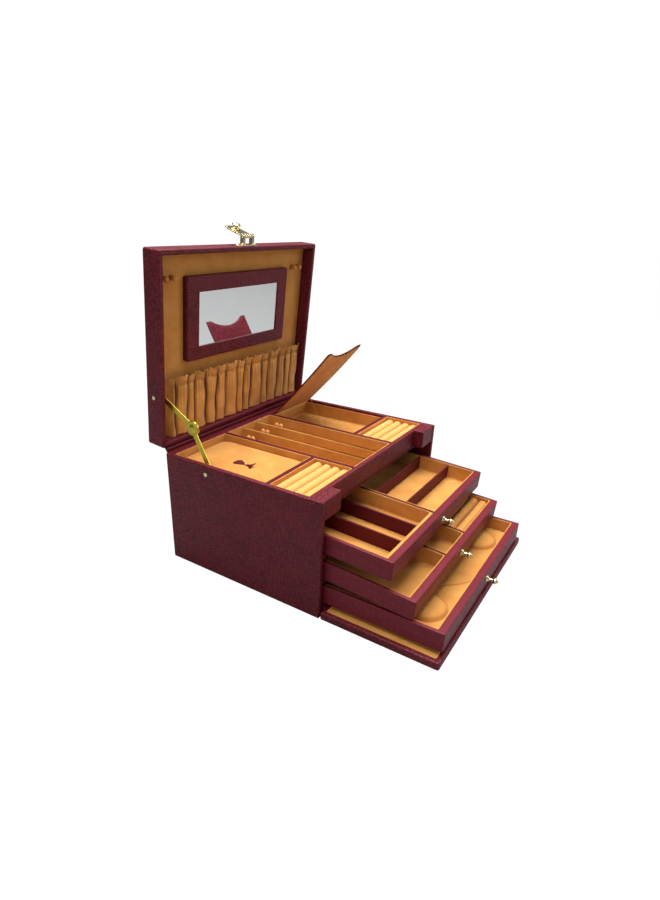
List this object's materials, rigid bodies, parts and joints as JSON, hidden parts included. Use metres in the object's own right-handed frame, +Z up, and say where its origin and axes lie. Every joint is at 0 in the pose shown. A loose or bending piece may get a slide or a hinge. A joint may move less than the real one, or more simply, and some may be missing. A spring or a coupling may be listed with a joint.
{
  "type": "jewellery case",
  "caption": "Leather-covered jewellery case shown open: mirrored hinged lid with pocket, divided top tray with ring rolls, pull-out drawers and a fold-down front.",
  "frame": {"origin": "centre of the underside of the case's body, on the surface it stands on", "axes": "+X to the right seen from the front, +Y to the back, +Z up; the drawers slide along Y"},
  "size_m": [0.2809, 0.3784, 0.3754],
  "materials": {
    "burgundy_leather": "embossed scale grain, semi-gloss",
    "board": "board wrapped in dark paper, matt",
    "tan_suede": "short-napped suede cloth, matt",
    "cream_suede": "padded suede cloth, matt",
    "gathered_cloth": "soft gathered cloth, matt",
    "thread": "twisted thread",
    "brass": "polished",
    "stay_brass": "polished",
    "mirror": "silvered glass"
  },
  "bodies": {
    "case": {"case_left_side": "burgundy_leather", "case_right_side": "burgundy_leather", "case_back": "burgundy_leather", "case_base": "burgundy_leather", "tray_board": "board", "tray_front_rail": "burgundy_leather", "tray_corner_blocks": "burgundy_leather", "tray_dividers": "burgundy_leather", "tray_cell_dividers": "tan_suede", "tray_lining": "tan_suede", "ring_rolls_left": "cream_suede", "ring_rolls_right": "cream_suede", "tray_pegs": "tan_suede", "pad_ledges": "tan_suede", "drawer_runners": "board", "lid_hinge_leather": "burgundy_leather", "stay_rivet_case": "brass", "flap_cord": "thread"},
    "flap": {"flap_board": "burgundy_leather", "flap_lining": "tan_suede"},
    "pad": {"pad_cover": "tan_suede", "pad_bow": "burgundy_leather"},
    "lid": {"lid_top_board": "burgundy_leather", "lid_sides": "burgundy_leather", "lid_front_rail": "burgundy_leather", "lid_back_rail": "burgundy_leather", "lid_lining": "tan_suede", "mirror_frame": "burgundy_leather", "mirror_glass": "mirror", "lid_pegs": "tan_suede", "lid_pocket": "gathered_cloth", "stay_rivet_lid": "brass", "clasp_plate": "brass", "clasp_rivets": "brass", "clasp_pin": "brass"},
    "clasp": {"clasp_arm": "brass", "clasp_catch": "brass"},
    "stay_lower": {"stay_lower_arm": "stay_brass"},
    "stay_upper": {"stay_upper_arm": "stay_brass"},
    "drawer_1": {"drawer_1_front": "burgundy_leather", "drawer_1_box": "burgundy_leather", "drawer_1_lining": "tan_suede", "drawer_1_dividers": "burgundy_leather", "drawer_1_knob": "brass"},
    "drawer_2": {"drawer_2_front": "burgundy_leather", "drawer_2_box": "burgundy_leather", "drawer_2_lining": "tan_suede", "drawer_2_dividers": "burgundy_leather", "drawer_2_ring_rolls": "cream_suede", "drawer_2_knob": "brass"},
    "drawer_3": {"drawer_3_front": "burgundy_leather", "drawer_3_box": "burgundy_leather", "drawer_3_lining": "tan_suede", "drawer_3_necklace_pad": "tan_suede", "drawer_3_knob": "brass"},
    "panel": {"front_panel": "burgundy_leather", "front_panel_lining": "tan_suede", "panel_hinge_leather": "burgundy_leather", "clasp_keeper": "brass"}
  },
  "joints": [
    {"name": "lid_hinge", "type": "hinge", "parent": "case", "child": "lid", "pos_m": [0, 0.1093, 0.1363], "axis": [1, 0, 0], "range_deg": [0, 84.8]},
    {"name": "stay_lower_pivot", "type": "hinge", "parent": "case", "child": "stay_lower", "pos_m": [-0.1314, 0.044, 0.125], "axis": [1, 0, 0], "range_deg": [0, 101.2]},
    {"name": "stay_upper_pivot", "type": "hinge", "parent": "lid", "child": "stay_upper", "pos_m": [-0.1301, 0.115, 0.198], "axis": [1, 0, 0], "range_deg": [-108.2, 0]},
    {"name": "flap_hinge", "type": "hinge", "parent": "case", "child": "flap", "pos_m": [0.0913, 0.0935, 0.1346], "axis": [1, 0, 0], "range_deg": [0, 46], "deforming": ["flap_cord"]},
    {"name": "pad_lift", "type": "slide", "parent": "case", "child": "pad", "axis": [0, 0, -1], "range_m": [-0.04, 0]},
    {"name": "clasp_hinge", "type": "hinge", "parent": "lid", "child": "clasp", "pos_m": [0, 0.09321, 0.36057], "axis": [1, 0, 0], "range_deg": [0, 166]},
    {"name": "drawer_1_slide", "type": "slide", "parent": "case", "child": "drawer_1", "axis": [0, 0.9985, 0.055], "range_m": [0, 0.086]},
    {"name": "drawer_2_slide", "type": "slide", "parent": "case", "child": "drawer_2", "axis": [0, 0.9977, 0.068], "range_m": [0, 0.112]},
    {"name": "drawer_3_slide", "type": "slide", "parent": "case", "child": "drawer_3", "axis": [0, 1, 0], "range_m": [0, 0.144]},
    {"name": "panel_hinge", "type": "hinge", "parent": "case", "child": "panel", "pos_m": [0, -0.1056, 0.009], "axis": [-1, 0, 0], "range_deg": [0, 1.2]}
  ],
  "couplings": [
    {"joint": "stay_lower_pivot", "follows": "lid_hinge", "ratio": 1.1905},
    {"joint": "stay_upper_pivot", "follows": "lid_hinge", "ratio": -1.2724},
    {"joint": "flap_hinge", "follows": "lid_hinge", "ratio": 0.54009}
  ]
}
